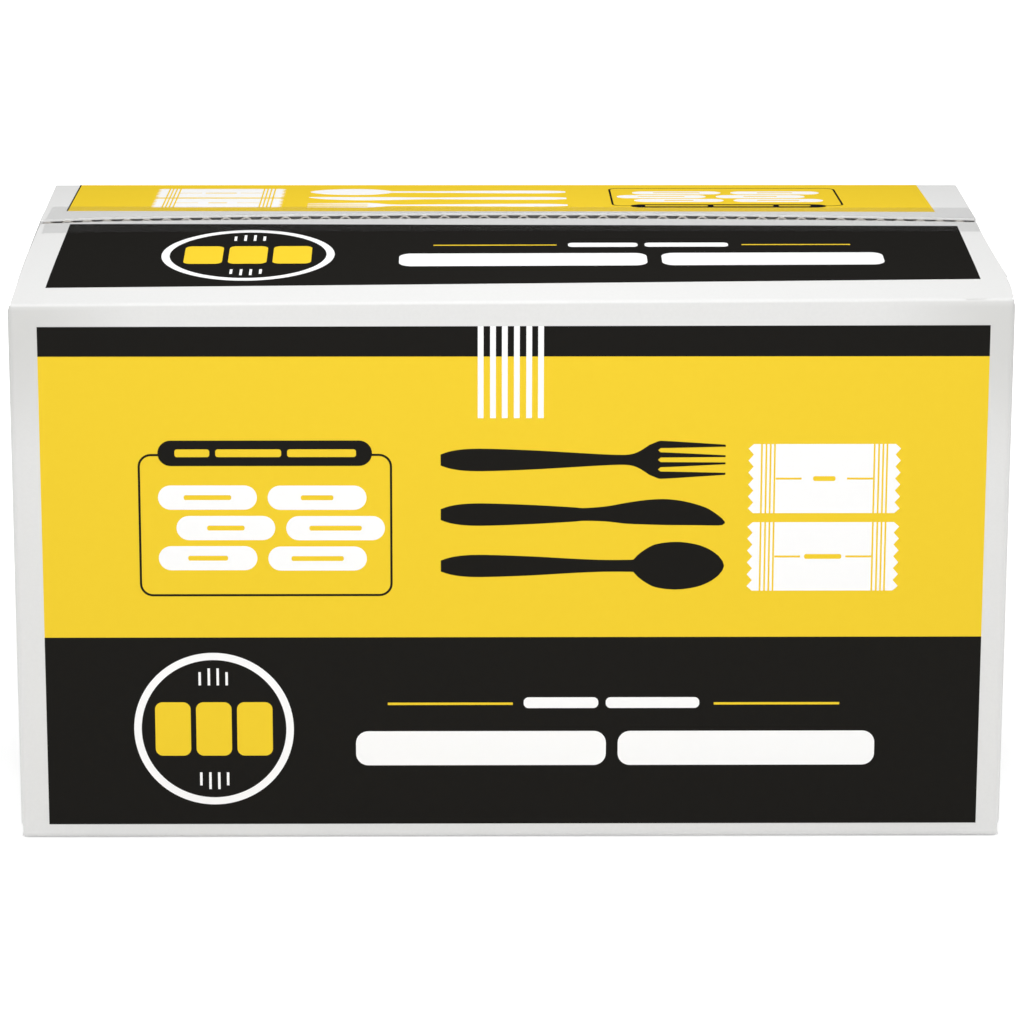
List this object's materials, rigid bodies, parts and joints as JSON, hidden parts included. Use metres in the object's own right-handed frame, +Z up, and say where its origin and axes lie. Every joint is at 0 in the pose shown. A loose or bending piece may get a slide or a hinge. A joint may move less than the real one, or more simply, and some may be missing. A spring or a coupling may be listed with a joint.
{
  "type": "carton of cutlery packets",
  "caption": "Sealed corrugated carton of wrapped cutlery kits, printed in yellow, black and white, its long flaps taped shut over a low ridge.",
  "frame": {"origin": "on the floor under the middle of the carton", "axes": "+X runs along the carton and its seams to the right, -Y is the front wall, +Z is up"},
  "size_m": [0.4012, 0.224, 0.2366],
  "materials": {
    "coated_board": "white clay-coated liner on corrugated board, satin",
    "board_edge": "raw cut edge of corrugated board, matte",
    "yellow_ink": "flat printed ink, satin",
    "black_ink": "flat printed ink, satin",
    "white_ink": "unprinted or white printed figure, satin",
    "clear_tape": "clear film with an adhesive back, glossy"
  },
  "bodies": {
    "root": {"carton": "coated_board", "top_tape": "clear_tape", "bottom_tape": "clear_tape"}
  },
  "joints": []
}
